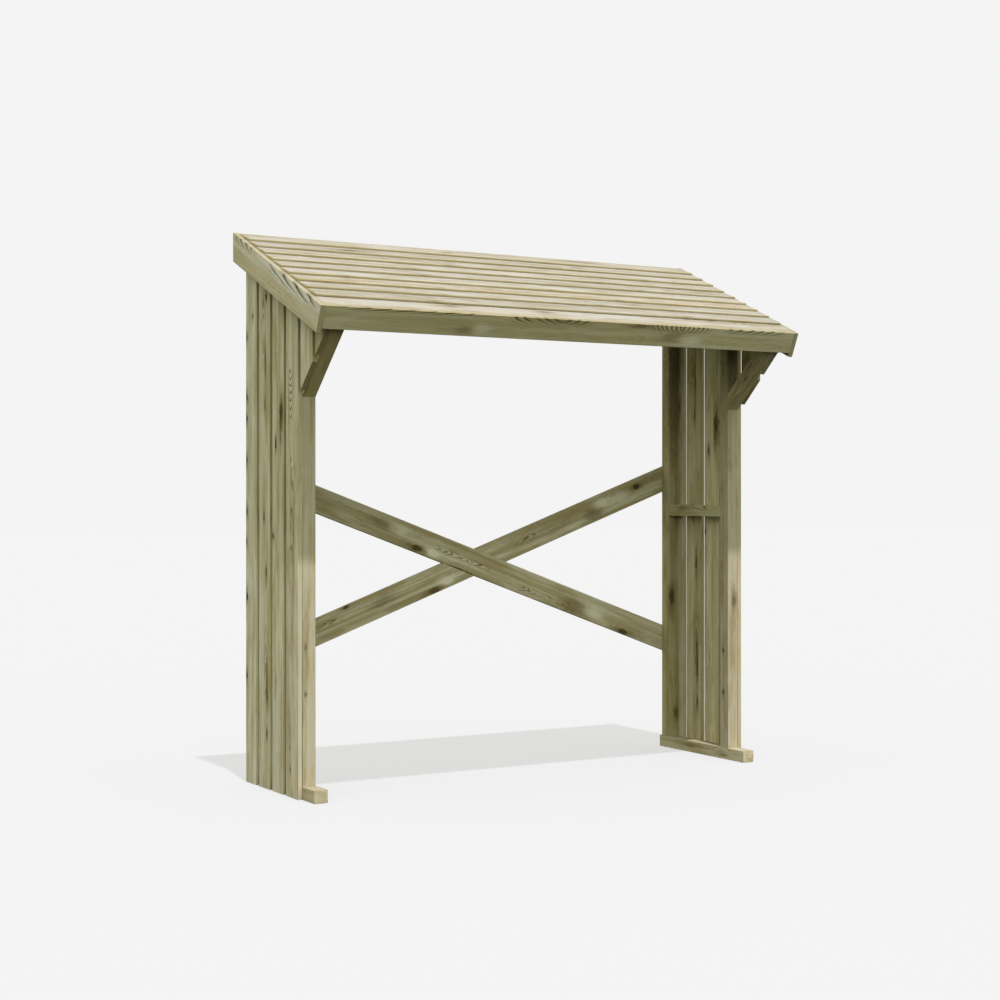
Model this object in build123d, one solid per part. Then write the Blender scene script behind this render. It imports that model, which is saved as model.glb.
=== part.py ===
"""Wall log store: two slatted side walls, a crossed back brace and a lapped board roof.

Millimetres, +Z up. The open front faces -Y, left is -X, and the soles stand on z = 0.
The origin is under the middle of the whole store.
"""
import os
from math import asin, atan2, cos, radians, sin, tan

from build123d import *

# Overall sizes
overall_width = 1870
wall_depth = 426
eaves_height = 1549
roof_angle = 23.75
roof_projection = 272
roof_rear_overhang = 6

# Frame timbers of the side walls
timber_width = 46.5
post_depth = 45
rail_height = 43
top_rail_depth = 45
sole_projection = 92
mid_rail_top = 935

# Wall slats
slat_thickness = 16
slat_gap = 21
full_slat_count = 4
short_slat_count = 2
slat_ground_gap = 2
slat_top_gap = 2
front_slat_gap = 10

# Knee braces under the front overhang
knee_depth = 43
knee_angle = 43
knee_head_height = 5

# Crossed braces and top rail at the back
back_board_thickness = 15
brace_width = 91
brace_high = 1027
brace_low = 422
brace_stagger = 5
back_rail_depth = 90

# Roof frame
bargeboard_thickness = 17
bargeboard_depth = 90
fascia_thickness = 16
fascia_depth = 76
rafter_thickness = 27.5
rafter_depth = 45

# Lapped roof boards
roof_board_count = 10
roof_board_width = 100
roof_board_thickness = 7.5
front_exposure = 86
board_end_clearance = 1
seat_clearance = 0.2
last_board_setback = 7

# Eased edges along the planed timber
timber_arris = 1.5
roof_board_arris = 2

# Stations across the store, on the right-hand side
bargeboard_outer = overall_width / 2
bargeboard_inner = bargeboard_outer - bargeboard_thickness
slat_outer = bargeboard_inner - rafter_thickness
slat_inner = slat_outer - slat_thickness
timber_inner = slat_inner - timber_width

# Stations from front to back
front_post_face = (roof_projection - wall_depth - roof_rear_overhang) / 2
wall_back = front_post_face + wall_depth
rear_post_back = wall_back - back_board_thickness
rear_post_face = rear_post_back - post_depth
roof_back = wall_back + roof_rear_overhang
slat_width = (wall_depth - (full_slat_count - 1) * slat_gap) / full_slat_count
slat_pitch = slat_width + slat_gap

# Roof slope: the datum is on the rafter tops, straight under the front edge of the bargeboards
slope = radians(roof_angle)
datum_y = front_post_face - roof_projection + roof_board_thickness * sin(slope)
datum_z = eaves_height - roof_board_thickness * cos(slope)


def on_roof(along, above):
    """Side-view point that lies so far up the slope and so far above the rafter tops."""
    y = datum_y + along * cos(slope) - above * sin(slope)
    z = datum_z + along * sin(slope) + above * cos(slope)
    return y, z


def roof_z(y, above):
    """Height of the plane that lies so far above the rafter tops, at one station from front to back."""
    return datum_z + (y - datum_y) * tan(slope) + above / cos(slope)


def knee_z(y):
    """Height of the underside of the knee braces, which also trims the short slats."""
    head_y, head_z = on_roof(fascia_thickness, -top_rail_depth - knee_head_height)
    return head_z - (y - head_y) * tan(radians(knee_angle))


def side_piece(points, x_from, x_to):
    """Extrude a profile of the side view across the store."""
    outline = Polyline(*[(x_from, y, z) for y, z in points], close=True)
    return extrude(make_face(outline), amount=x_to - x_from, dir=(1, 0, 0))


def back_piece(points, y_from, y_to):
    """Extrude a profile of the rear view from front to back."""
    outline = Polyline(*[(x, y_from, z) for x, z in points], close=True)
    return extrude(make_face(outline), amount=y_to - y_from, dir=(0, 1, 0))


def eased(piece, radius):
    """Round the edges that run along the length of a piece."""
    longest = piece.edges().sort_by(SortBy.LENGTH)[-1]
    return fillet(piece.edges().filter_by(Axis(longest @ 0, longest % 0)), radius)


def upright(y_from, y_to, bottom, top_above, x_from, x_to):
    """Vertical timber or slat with its head cut to the roof slope; bottom gives its foot at a station."""
    points = [
        (y_from, bottom(y_from)),
        (y_to, bottom(y_to)),
        (y_to, roof_z(y_to, top_above)),
        (y_from, roof_z(y_from, top_above)),
    ]
    return side_piece(points, x_from, x_to)


def level_rail(y_from, y_to, z_from, z_to, x_from, x_to):
    """Level timber that runs from front to back."""
    points = [(y_from, z_from), (y_to, z_from), (y_to, z_to), (y_from, z_to)]
    return side_piece(points, x_from, x_to)


def sloping_timber(along_from, back, low, high, x_from, x_to):
    """Timber that follows the roof: square at the front end, cut plumb at the back end."""
    points = [
        on_roof(along_from, high),
        on_roof(along_from, low),
        (back, roof_z(back, low)),
        (back, roof_z(back, high)),
    ]
    return side_piece(points, x_from, x_to)


def wall_frame():
    """Sole, posts, mid rail and top rail of the right-hand wall."""
    across = (timber_inner, slat_inner)
    mid_rail_bottom = mid_rail_top - rail_height
    return {
        "sole": level_rail(front_post_face - sole_projection, wall_back, 0, rail_height, *across),
        "front_post": upright(
            front_post_face, front_post_face + post_depth, lambda y: rail_height, -top_rail_depth, *across),
        "rear_post": upright(
            rear_post_face, rear_post_back, lambda y: rail_height, -top_rail_depth, *across),
        "mid_rail": level_rail(
            front_post_face + post_depth, rear_post_face, mid_rail_bottom, mid_rail_top, *across),
        "top_rail": sloping_timber(fascia_thickness, rear_post_back, -top_rail_depth, 0, *across),
    }


def wall_slats():
    """Slats of the right-hand wall from back to front: full ones, then short ones over the knee brace."""
    slats = {}
    across = (slat_inner, slat_outer)
    fascia_foot, _ = on_roof(fascia_thickness, roof_board_thickness - fascia_depth)
    last = full_slat_count + short_slat_count
    for number in range(1, last + 1):
        back_edge = wall_back - (number - 1) * slat_pitch
        front_edge = back_edge - slat_width if number < last else fascia_foot + front_slat_gap
        bottom = knee_z if number > full_slat_count else lambda y: slat_ground_gap
        slats[f"slat_{number}"] = upright(front_edge, back_edge, bottom, -slat_top_gap, *across)
    return slats


def knee_brace():
    """Sloping strut from the front post to the top rail, its head fitted under the rail and the fascia."""
    reach = roof_projection
    rise = knee_depth / cos(radians(knee_angle))
    far = front_post_face - reach
    bar = side_piece(
        [
            (front_post_face, knee_z(front_post_face)),
            (front_post_face, knee_z(front_post_face) + rise),
            (far, knee_z(far) + rise),
            (far, knee_z(far)),
        ],
        timber_inner, slat_inner)
    under_roof = side_piece(
        [
            on_roof(fascia_thickness, -top_rail_depth),
            (front_post_face, roof_z(front_post_face, -top_rail_depth)),
            (front_post_face, knee_z(front_post_face)),
            on_roof(fascia_thickness, -fascia_depth - bargeboard_depth),
        ],
        timber_inner, slat_inner)
    return bar & under_roof


def back_braces():
    """Two crossed boards behind the rear posts, halved into each other where they cross."""
    fall = atan2(brace_high - brace_low, 2 * timber_inner)
    half_rise = brace_width / 2 / cos(fall)
    middle = (brace_high + brace_low) / 2
    end_rise = slat_inner * tan(fall)

    def outline(direction):
        """Corners of one brace; direction is 1 where it rises to the right and -1 where it falls."""
        level = middle if direction < 0 else middle + brace_stagger
        return [
            (-slat_inner, level - direction * end_rise - half_rise),
            (slat_inner, level + direction * end_rise - half_rise),
            (slat_inner, level + direction * end_rise + half_rise),
            (-slat_inner, level - direction * end_rise + half_rise),
        ]

    joint = (rear_post_back + wall_back) / 2
    falling = eased(back_piece(outline(-1), rear_post_back, wall_back), timber_arris)
    rising = eased(back_piece(outline(1), rear_post_back, wall_back), timber_arris)
    return {
        "back_brace_falling": falling - back_piece(outline(1), joint, wall_back),
        "back_brace_rising": rising - back_piece(outline(-1), rear_post_back, joint),
    }


def roof_frame():
    """Centre rafter, fascia and the rail that ties the walls at the top of the back."""
    rail_foot = roof_z(rear_post_back, 0) - back_rail_depth
    half_rafter = rafter_thickness / 2
    return {
        "back_top_rail": side_piece(
            [
                (rear_post_back, rail_foot),
                (wall_back, rail_foot),
                (wall_back, roof_z(wall_back, 0)),
                (rear_post_back, roof_z(rear_post_back, 0)),
            ],
            -slat_inner, slat_inner),
        "centre_rafter": sloping_timber(
            fascia_thickness, rear_post_back, -rafter_depth, 0, -half_rafter, half_rafter),
        "front_fascia": side_piece(
            [
                on_roof(0, roof_board_thickness),
                on_roof(0, roof_board_thickness - fascia_depth),
                on_roof(fascia_thickness, roof_board_thickness - fascia_depth),
                on_roof(fascia_thickness, roof_board_thickness),
            ],
            -bargeboard_inner, bargeboard_inner),
    }


def roof_edges():
    """Bargeboard and outer rafter of the right-hand end of the roof."""
    bargeboard_foot = roof_board_thickness - bargeboard_depth
    return {
        "bargeboard": sloping_timber(
            0, roof_back, bargeboard_foot, roof_board_thickness, bargeboard_inner, bargeboard_outer),
        "rafter": sloping_timber(
            fascia_thickness, roof_back, -rafter_depth, 0, slat_outer, bargeboard_inner),
    }


def roof_boards():
    """Roof boards from front to back: the first lies flat, and each of the others laps the one before."""
    half_length = bargeboard_inner - board_end_clearance
    last_head = (roof_back - datum_y) / cos(slope)
    lapped_count = roof_board_count - 2
    pitch = (last_head - roof_board_width - front_exposure) / lapped_count
    tilt = asin(roof_board_thickness / pitch)

    first_head = last_head - (lapped_count + 1) * pitch
    top = seat_clearance + roof_board_thickness
    boards = {
        "roof_board_1": side_piece(
            [
                on_roof(fascia_thickness, seat_clearance),
                on_roof(first_head, seat_clearance),
                on_roof(first_head, top),
                on_roof(fascia_thickness, top),
            ],
            -half_length, half_length)
    }

    def on_board(head, down, up):
        """Side-view point of a lapped board, so far down from its head and so far above its underside."""
        along = head - down * cos(tilt) + up * sin(tilt)
        return on_roof(along, seat_clearance + down * sin(tilt) + up * cos(tilt))

    for number in range(2, roof_board_count + 1):
        head = first_head + (number - 1) * pitch
        start = last_board_setback if number == roof_board_count else 0
        boards[f"roof_board_{number}"] = side_piece(
            [
                on_board(head, start, 0),
                on_board(head, start, roof_board_thickness),
                on_board(head, roof_board_width, roof_board_thickness),
                on_board(head, roof_board_width, 0),
            ],
            -half_length, half_length)
    return {name: eased(board, roof_board_arris) for name, board in boards.items()}


def log_store():
    """All pieces of the store by name."""
    pieces = {}
    handed = {**wall_frame(), **wall_slats(), "knee_brace": knee_brace(), **roof_edges()}
    for name, piece in handed.items():
        pieces[f"right_{name}"] = eased(piece, timber_arris)
        pieces[f"left_{name}"] = mirror(pieces[f"right_{name}"], about=Plane.YZ)
    for name, piece in roof_frame().items():
        pieces[name] = eased(piece, timber_arris)
    pieces.update(back_braces())
    pieces.update(roof_boards())
    return pieces


os.makedirs("parts", exist_ok=True)
for node, solid in log_store().items():
    export_step(solid, f"parts/{node}.step")
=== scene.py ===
"""Wall log store in pressure-treated softwood, dressed for a plain studio picture.

Metres, +Z up. The open front faces -Y, left is -X, and the soles stand on z = 0.
"""
import logging
import math
from dataclasses import dataclass, field, replace
from enum import Enum
from functools import reduce
from operator import add
from random import Random
from typing import Any, Iterator, Sequence, Union

import bmesh
import bpy
from mathutils import Matrix, Vector


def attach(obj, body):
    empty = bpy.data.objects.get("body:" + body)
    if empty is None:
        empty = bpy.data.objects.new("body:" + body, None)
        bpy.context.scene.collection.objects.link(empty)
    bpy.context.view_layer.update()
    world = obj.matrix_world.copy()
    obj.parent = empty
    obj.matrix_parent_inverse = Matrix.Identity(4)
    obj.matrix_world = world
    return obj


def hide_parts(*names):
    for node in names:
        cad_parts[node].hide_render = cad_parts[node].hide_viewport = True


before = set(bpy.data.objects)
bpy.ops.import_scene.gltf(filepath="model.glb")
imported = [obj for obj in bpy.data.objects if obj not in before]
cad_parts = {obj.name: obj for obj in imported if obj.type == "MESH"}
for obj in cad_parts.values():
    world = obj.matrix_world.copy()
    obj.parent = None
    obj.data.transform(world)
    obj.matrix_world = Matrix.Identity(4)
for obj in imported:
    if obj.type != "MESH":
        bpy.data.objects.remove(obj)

LOG = logging.getLogger("log_store")
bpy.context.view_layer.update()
RIGHTWARD = Vector((1.0, 0.0, 0.0))
BACKWARD = Vector((0.0, 1.0, 0.0))
UPWARD = Vector((0.0, 0.0, 1.0))
MARKS_PER_BOARD = 9
FEATHERS_PER_BOARD = 5
FAR_OFF = 90.0  # where a board's unused marks lie, out of sight
SPECK = 0.01  # size of an unused mark
SAWN_SLANT = 0.3  # a face is sawn if its normal leans along the board by more than this
SQUARE = 0.999  # a face is broad if its normal follows one axis by more than this
TOUCH = 1e-6  # a point lies on a plane if it is nearer than this

Span = tuple[float, float]
Triple = tuple[float, float, float]
Colour = Triple
Number = Union["Value", float]


def tone(red: int, green: int, blue: int) -> Colour:
    """Turn a colour as it shows on screen into the linear values that shaders use.

    Args:
        red: Red share, 0 to 255.
        green: Green share, 0 to 255.
        blue: Blue share, 0 to 255.

    Returns:
        The linear red, green and blue.
    """
    shares = [part / 255 for part in (red, green, blue)]
    return tuple(s / 12.92 if s <= 0.04045 else ((s + 0.055) / 1.055) ** 2.4 for s in shares)


class Side(Enum):
    """The two ends of the store, with the sign of X there."""

    LEFT = -1
    RIGHT = 1

    def node(self, name: str) -> str:
        """Name of this end's node."""
        return f"{self.name.lower()}_{name}"

    def at(self, station: float) -> float:
        """X of a station that is measured outwards from the middle."""
        return self.value * station


class Slot(Enum):
    """Material slots of the record."""

    FRAME = "frame_timber"
    SLATS = "slat_timber"
    BRACES = "brace_timber"
    TRIM = "trim_timber"
    ROOF = "roof_timber"


class Value:
    """A value in a node tree; arithmetic on it adds Math nodes."""

    def __init__(self, sheet: "NodeSheet", socket: bpy.types.NodeSocket) -> None:
        """Hold the socket and the sheet that it belongs to."""
        self.sheet = sheet
        self.socket = socket

    def __add__(self, other: Number) -> "Value":
        """Sum of two values."""
        return self.sheet.math("ADD", self, other)

    def __radd__(self, other: float) -> "Value":
        """Sum with a number in front."""
        return self.sheet.math("ADD", other, self)

    def __sub__(self, other: Number) -> "Value":
        """Difference of two values."""
        return self.sheet.math("SUBTRACT", self, other)

    def __rsub__(self, other: float) -> "Value":
        """Difference with a number in front."""
        return self.sheet.math("SUBTRACT", other, self)

    def __mul__(self, other: Number) -> "Value":
        """Product of two values."""
        return self.sheet.math("MULTIPLY", self, other)

    def __rmul__(self, other: float) -> "Value":
        """Product with a number in front."""
        return self.sheet.math("MULTIPLY", other, self)

    def __truediv__(self, other: Number) -> "Value":
        """Quotient of two values."""
        return self.sheet.math("DIVIDE", self, other)

    def __rtruediv__(self, other: float) -> "Value":
        """Quotient with a number in front."""
        return self.sheet.math("DIVIDE", other, self)

    def __pow__(self, other: Number) -> "Value":
        """Power of a value."""
        return self.sheet.math("POWER", self, other)

    def __rpow__(self, other: float) -> "Value":
        """Power of a number."""
        return self.sheet.math("POWER", other, self)

    def __abs__(self) -> "Value":
        """Size of a value without its sign."""
        return self.sheet.math("ABSOLUTE", self)

    def root(self) -> "Value":
        """Square root."""
        return self.sheet.math("SQRT", self)

    def fraction(self) -> "Value":
        """Part after the decimal point."""
        return self.sheet.math("FRACT", self)

    def larger(self, other: Number) -> "Value":
        """The larger of two values."""
        return self.sheet.math("MAXIMUM", self, other)

    def smaller(self, other: Number) -> "Value":
        """The smaller of two values."""
        return self.sheet.math("MINIMUM", self, other)

    def share(self) -> "Value":
        """The value, kept between 0 and 1."""
        return self.larger(0.0).smaller(1.0)

    def step(self, start: float, end: float) -> "Value":
        """Smooth step from 0 at start to 1 at end.

        Args:
            start: Value where the step begins.
            end: Value where the step is complete; it may be below start.

        Returns:
            The step, between 0 and 1.
        """
        low, high = sorted((start, end))
        sockets = {"Value": self, "From Min": low, "From Max": high, "To Min": 0.0, "To Max": 1.0}
        rise = self.sheet.node("ShaderNodeMapRange", sockets, interpolation_type="SMOOTHSTEP")["Result"]
        return rise if start < end else 1 - rise


class NodeSheet:
    """A node tree under construction."""

    def __init__(self, tree: bpy.types.NodeTree) -> None:
        """Start from an empty tree."""
        self.tree = tree
        tree.nodes.clear()

    def node(
        self, kind: str, sockets: dict[str | int, Any] | None = None, **settings: Any
    ) -> dict[str, Value]:
        """Add one node.

        Args:
            kind: Blender's type name of the node.
            sockets: Values or links of the inputs, by identifier, name or place.
            **settings: Properties of the node, set before the inputs; stops are those of a ramp.

        Returns:
            The outputs by name.
        """
        made = self.tree.nodes.new(kind)
        for name, value in settings.items():
            if name == "stops":
                self._set_stops(made.color_ramp, value)
            else:
                setattr(made, name, value)
        for key, value in (sockets or {}).items():
            entry = self._input(made, key)
            if isinstance(value, Value):
                self.tree.links.new(value.socket, entry)
            elif isinstance(entry.default_value, float):
                entry.default_value = value
            else:
                entry.default_value = (*value, 1.0)[:len(entry.default_value)]
        outputs = {}
        for output in made.outputs:
            if output.enabled:
                outputs.setdefault(output.name, Value(self, output))
        return outputs

    @staticmethod
    def _set_stops(ramp: bpy.types.ColorRamp, stops: Sequence[Span]) -> None:
        """Give a ramp its grey stops.

        Args:
            ramp: The ramp of a Color Ramp node.
            stops: Position and brightness of each stop, in order.
        """
        while len(ramp.elements) < len(stops):
            ramp.elements.new(0.5)
        for element, (position, brightness) in zip(ramp.elements, stops):
            element.position = position
            element.color = (brightness, brightness, brightness, 1.0)

    @staticmethod
    def _input(made: bpy.types.Node, key: str | int) -> bpy.types.NodeSocket:
        """Find an input.

        Args:
            made: The node.
            key: Place, identifier or name of the input.

        Returns:
            The input's socket.
        """
        for entry in made.inputs:
            if entry.identifier == key:
                return entry
        return made.inputs[key]

    def math(self, operation: str, *values: Number) -> Value:
        """One Math node."""
        return self.node("ShaderNodeMath", dict(enumerate(values)), operation=operation)["Value"]

    def vectors(self, operation: str, first: Value, second: Value | Triple) -> Value:
        """One Vector Math node, which works part by part."""
        return self.node("ShaderNodeVectorMath", {0: first, 1: second}, operation=operation)["Vector"]

    def shade(self, colour: Value, amount: Value) -> Value:
        """Make a colour lighter or darker by a factor that varies."""
        return self.node("ShaderNodeVectorMath", {0: colour, "Scale": amount}, operation="SCALE")["Vector"]

    def attribute(self, name: str) -> Value:
        """Read a vector that the piece carries at its points."""
        return self.node("ShaderNodeAttribute", attribute_name=name)["Vector"]

    def number(self, name: str) -> Value:
        """Read a number that the piece carries on its faces."""
        return self.node("ShaderNodeAttribute", attribute_name=name)["Fac"]

    def parts(self, vector: Value) -> tuple[Value, Value, Value]:
        """Split a vector into its three parts."""
        return tuple(self.node("ShaderNodeSeparateXYZ", {"Vector": vector}).values())

    def noise(self, vector: Value, detail: float, roughness: float) -> Value:
        """Noise of unit scale, about 0 to 1, with finer layers of that number and strength."""
        sockets = {"Vector": vector, "Scale": 1.0, "Detail": detail, "Roughness": roughness}
        return self.node("ShaderNodeTexNoise", sockets, noise_dimensions="3D")["Fac"]

    def blend(self, amount: Value, first: Value | Colour, second: Colour) -> Value:
        """Mix two colours; an amount of 0 gives the first and 1 the second."""
        sockets = {"Factor_Float": amount, "A_Color": first, "B_Color": second}
        return self.node("ShaderNodeMix", sockets, data_type="RGBA", blend_type="MIX")["Result"]

    def mix(self, amount: Number, first: Value, second: Value) -> Value:
        """Mix two shaders; an amount of 0 gives the first and 1 the second."""
        return self.node("ShaderNodeMixShader", {0: amount, 1: first, 2: second})["Shader"]


@dataclass(frozen=True)
class Figure:
    """Noise drawn out along the grain: its scale along and across, and its finer layers."""

    along: float
    across: float
    detail: float = 2.0
    roughness: float = 0.5

    def read(self, sheet: NodeSheet, grain: Value) -> Value:
        """Noise at a point of the log, about 0 to 1."""
        place = sheet.vectors("MULTIPLY", grain, (self.along, self.across, self.across))
        return sheet.noise(place, self.detail, self.roughness)


FIBRE = Figure(9.0, 420.0, 3.0, 0.65)
STREAK = Figure(0.9, 62.0, 3.0, 0.6)
CLOUD = Figure(1.6, 4.0)
RAGGED = Figure(50.0, 90.0, 4.0, 0.6)
WOBBLE = Figure(11.0, 34.0, 3.0)
FADING = Figure(17.0, 60.0)
BOW = Figure(3.2, 0.8)
RIPPLE = Figure(12.0, 16.0)


@dataclass(frozen=True)
class TimberFinish:
    """Planed, pressure-treated softwood with growth rings, fibres, stains, knots and arches, with painted
    light and shade on upward faces and narrow edges.

    Every board carries its own coordinates from the middle of its log, its plain coordinates, its tint,
    its marks and its feathers, so that one finish serves all the boards of a slot. A band gives the
    values between which a step rises.
    """

    slot: Slot
    early_wood: Colour
    late_wood: Colour
    pale_patch: Colour
    brown_patch: Colour
    knot_heart: Colour = tone(66, 58, 30)
    knot_rim: Colour = tone(109, 97, 60)
    ring_spacing: float = 0.0045
    ring_contrast: float = 0.8
    ring_stops: Sequence[Span] = ((0.0, 0.05), (0.35, 0.08), (0.82, 0.9), (0.93, 1.0), (1.0, 0.05))
    ring_bow: float = 0.05
    ring_ripple: float = 0.010
    ring_change: float = 0.43
    ring_band: Span = (0.25, 0.75)
    plain_rings: float = 0.45
    swell_gain: float = 45.0
    flame_length: float = 0.22
    flame_width: float = 0.04
    flame_strength: float = 0.6
    streak_strength: float = 0.5
    high_band: Span = (0.49, 0.62)
    low_band: Span = (0.49, 0.36)
    low_flame_band: Span = (0.47, 0.34)
    rag_gain: float = 2.6
    rag_loss: float = 0.3
    heart_band: Span = (1.05, 0.5)
    stain_tail: float = 0.2
    stain_fade: float = 1.4
    swell_fade: float = 0.4
    arch_bend: float = 1.6
    arch_sway: float = 0.9
    arch_shake: float = 3.4
    arch_calm: float = 1.6
    arch_sharpen: float = 0.5
    end_sway: float = 0.5
    arch_rise: Span = (0.25, 0.85)
    arch_fall: Span = (1.0, 0.88)
    arch_sides: Span = (1.15, 0.6)
    arch_ends: Span = (1.05, 0.6)
    arch_fade: Span = (0.36, 0.6)
    shade_base: float = 0.74
    fibre_shade: float = 0.34
    cloud_shade: float = 0.18
    sawn_shade: float = 0.08
    # Painted shade on upward faces: how far they are darkened and which tone they are tinted towards, so that
    # faces that take the key light head-on don't render too bright.
    weathering: float = 0.42
    top_tone: Colour = tone(178, 167, 138)
    top_share: float = 0.3
    # Painted edge tone: narrow edges and sawn ends are blended towards it. It is painted shade in the slots
    # between slats, painted shade on the trim's sawn ends on top of their darker end grain, and painted light
    # on the shaded front lips of the roof boards.
    edge_tone: Colour = tone(112, 104, 64)
    edge_share: float = 0.0
    relief: Sequence[float] = (0.5, 0.6, 0.4, 0.4)
    bump_strength: float = 0.35
    bump_height: float = 0.0012
    roughness: float = 0.78
    roughness_change: float = 0.12
    specular: float = 0.08

    def material(self) -> bpy.types.Material:
        """Build the material.

        Returns:
            The node material of this finish.
        """
        material = bpy.data.materials.new(self.slot.value)
        material.use_nodes = True
        sheet = NodeSheet(material.node_tree)
        grain = sheet.attribute("grain")
        heart, stain, swell = self._marks(sheet, grain)
        late = self._rings(sheet, grain, swell)
        flames = Figure(1 / self.flame_length, 1 / self.flame_width, STREAK.detail, STREAK.roughness)
        fibre, streak, flame, cloud = (figure.read(sheet, grain) for figure in (FIBRE, STREAK, flames, CLOUD))
        weather = sheet.number("weather")

        near_marks = (swell * self.swell_gain).smaller(1.0) * (1 - self.plain_rings)
        layers = (
            (late * (self.ring_contrast * (self.plain_rings + near_marks)), self.late_wood),
            (streak.step(*self.high_band) * self.streak_strength, self.brown_patch),
            (streak.step(*self.low_band) * self.streak_strength, self.pale_patch),
            (flame.step(*self.high_band) * self.flame_strength, self.pale_patch),
            (flame.step(*self.low_flame_band) * self.flame_strength, self.brown_patch),
            ((0 - stain).share(), self.pale_patch),
            # brown stains; on a few boards they are painted shade
            (stain.share(), self.knot_rim),
            (self._feathers(sheet, grain), self.late_wood),
            # painted edge tone: shade in the slots and on the trim's ends, light on the roof boards' lips
            (sheet.number("edge") * self.edge_share, self.edge_tone),
            # dark hearts; one of them is a painted shadow line
            (heart, self.knot_heart),
        )
        colour = self.early_wood
        for amount, wood in layers:
            colour = sheet.blend(amount, colour, wood)
        light = self.shade_base + fibre * self.fibre_shade + cloud * self.cloud_shade
        colour = sheet.shade(colour, light - sheet.number("sawn") * self.sawn_shade)
        # Painted shade on upward faces: tinted towards the top tone, then darkened.
        colour = sheet.blend(weather * self.top_share, colour, self.top_tone)
        colour = sheet.shade(colour, 1 - weather * self.weathering)

        height = reduce(add, (part * much for part, much in zip((late, fibre, streak, heart), self.relief)))
        bump = {"Strength": self.bump_strength, "Distance": self.bump_height, "Height": height}
        sockets = {
            "Base Color": sheet.vectors("MULTIPLY", colour, sheet.attribute("tint")),
            "Roughness": self.roughness + fibre * self.roughness_change - heart * self.roughness_change,
            "Specular IOR Level": self.specular,
            "Normal": sheet.node("ShaderNodeBump", bump)["Normal"],
        }
        shader = sheet.node("ShaderNodeBsdfPrincipled", sockets)["BSDF"]
        sheet.node("ShaderNodeOutputMaterial", {"Surface": shader})
        return material

    def _marks(self, sheet: NodeSheet, grain: Value) -> tuple[Value, Value, Value]:
        """Shapes of the board's marks.

        Args:
            sheet: The tree under construction.
            grain: The board's coordinates from the middle of its log.

        Returns:
            The dark hearts, the brown and pale stains, and how far the rings swell round the marks; a few
            hearts and brown stains are painted shade and shadow.
        """
        board = sheet.attribute("board")
        ragged = RAGGED.read(sheet, grain) * self.rag_gain - self.rag_loss
        hearts, stains, swells = [], [], []
        for number in range(MARKS_PER_BOARD):
            away = sheet.vectors("SUBTRACT", board, sheet.attribute(f"place_{number}"))
            away = sheet.vectors("DIVIDE", away, sheet.attribute(f"span_{number}"))
            along, across, through = sheet.parts(away)
            dark, brown, push = sheet.parts(sheet.attribute(f"mood_{number}"))
            side = across * across + through * through
            far = (side + along * along) * ragged
            tail = (side + along * along * self.stain_tail) * ragged
            hearts.append(far.step(*self.heart_band) * dark)
            stains.append(brown / (1 + tail * tail * self.stain_fade))
            swells.append(push / (1 + far * self.swell_fade))
        return reduce(Value.larger, hearts), reduce(add, stains), reduce(add, swells)

    def _feathers(self, sheet: NodeSheet, grain: Value) -> Value:
        """Nested arches of late wood where the saw grazed the rings.

        Args:
            sheet: The tree under construction.
            grain: The board's coordinates from the middle of its log.

        Returns:
            How much a point belongs to an arch, 0 to 1.
        """
        board = sheet.attribute("board")
        wobble = WOBBLE.read(sheet, grain) - 0.5
        faint = FADING.read(sheet, grain).step(*self.arch_fade)
        arches = []
        for number in range(FEATHERS_PER_BOARD):
            length, width, pitch = sheet.parts(sheet.attribute(f"feather_span_{number}"))
            bold, bowl, _ = sheet.parts(sheet.attribute(f"feather_mood_{number}"))
            away = sheet.vectors("SUBTRACT", board, sheet.attribute(f"feather_place_{number}"))
            along, across, _ = sheet.parts(away)
            side = across / width + wobble * self.arch_sway
            run = along + (abs(along) - along) * bowl
            shake = wobble * (self.arch_shake - bold * self.arch_calm)
            turn = (run / pitch + side * side * self.arch_bend + shake).fraction()
            line = (turn.step(*self.arch_rise) * turn.step(*self.arch_fall)) ** (1 + bold * self.arch_sharpen)
            ends = abs(along / length + wobble * self.end_sway).step(*self.arch_ends)
            arches.append(line * (abs(side).step(*self.arch_sides) * ends) * faint.larger(bold))
        return reduce(Value.larger, arches)

    def _rings(self, sheet: NodeSheet, grain: Value, swell: Value) -> Value:
        """Growth rings round the middle of the log.

        Args:
            sheet: The tree under construction.
            grain: The board's coordinates from the middle of its log.
            swell: How far the rings are pushed out round the marks.

        Returns:
            How much a point belongs to the dark late wood, 0 to 1.
        """
        bow, ripple = (figure.read(sheet, grain) - 0.5 for figure in (BOW, RIPPLE))
        _, across, through = sheet.parts(grain)
        rise = through + bow * self.ring_bow
        reach = (across * across + rise * rise).root()
        ring = (reach + ripple * self.ring_ripple + swell) / self.ring_spacing
        dark = sheet.node("ShaderNodeValToRGB", {"Fac": ring.fraction()}, stops=self.ring_stops)["Color"]
        year = sheet.node("ShaderNodeCombineXYZ", {"X": ring * self.ring_change})["Vector"]
        strength = sheet.noise(year, 1.0, 0.5).step(*self.ring_band)
        return sheet.node("ShaderNodeRGBToBW", {"Color": dark})["Val"] * strength


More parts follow.
